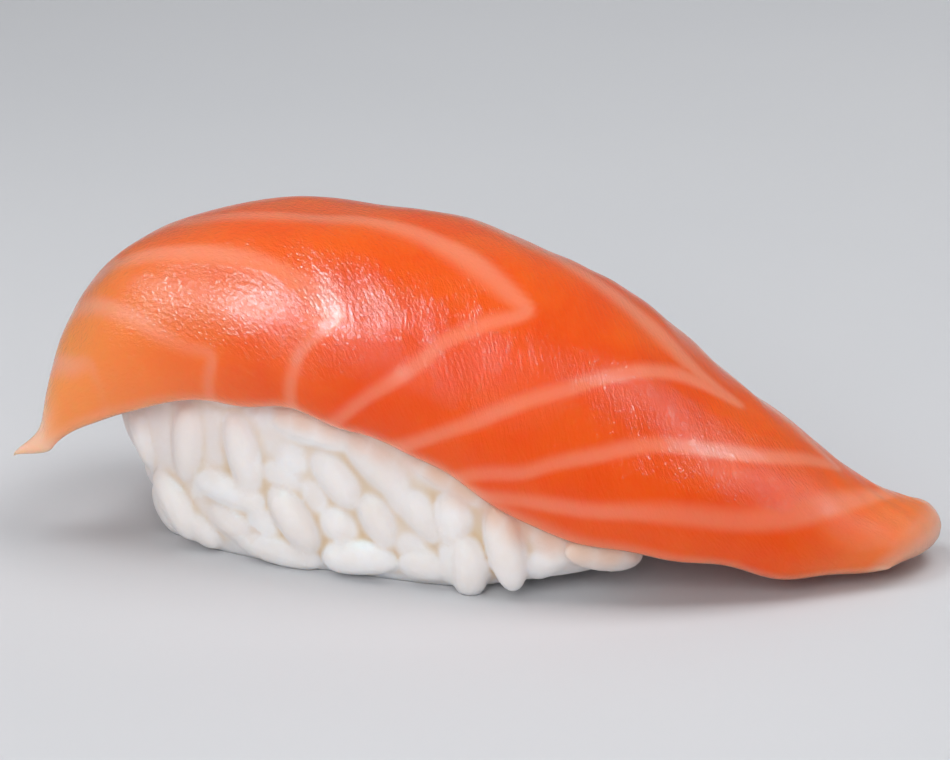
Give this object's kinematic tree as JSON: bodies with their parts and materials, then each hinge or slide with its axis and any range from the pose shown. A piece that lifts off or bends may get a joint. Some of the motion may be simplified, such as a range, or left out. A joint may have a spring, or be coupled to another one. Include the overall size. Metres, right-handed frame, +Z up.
{
  "type": "salmon nigiri",
  "caption": "Piece of salmon nigiri: a tapered slice of raw salmon with pale fat lines draped over a pressed block of white rice.",
  "frame": {"origin": "under the middle of the piece, on the surface that it rests on", "axes": "+X runs along the slice from its thin end to its cut tail end, +Z points up, and -Y is the near side"},
  "size_m": [0.0771, 0.032, 0.0288],
  "materials": {
    "salmon": "wet gloss, translucent, with pale fat lines",
    "rice": "moist satin, translucent white grains"
  },
  "bodies": {
    "root": {"salmon": "salmon", "rice": "rice"}
  },
  "joints": []
}
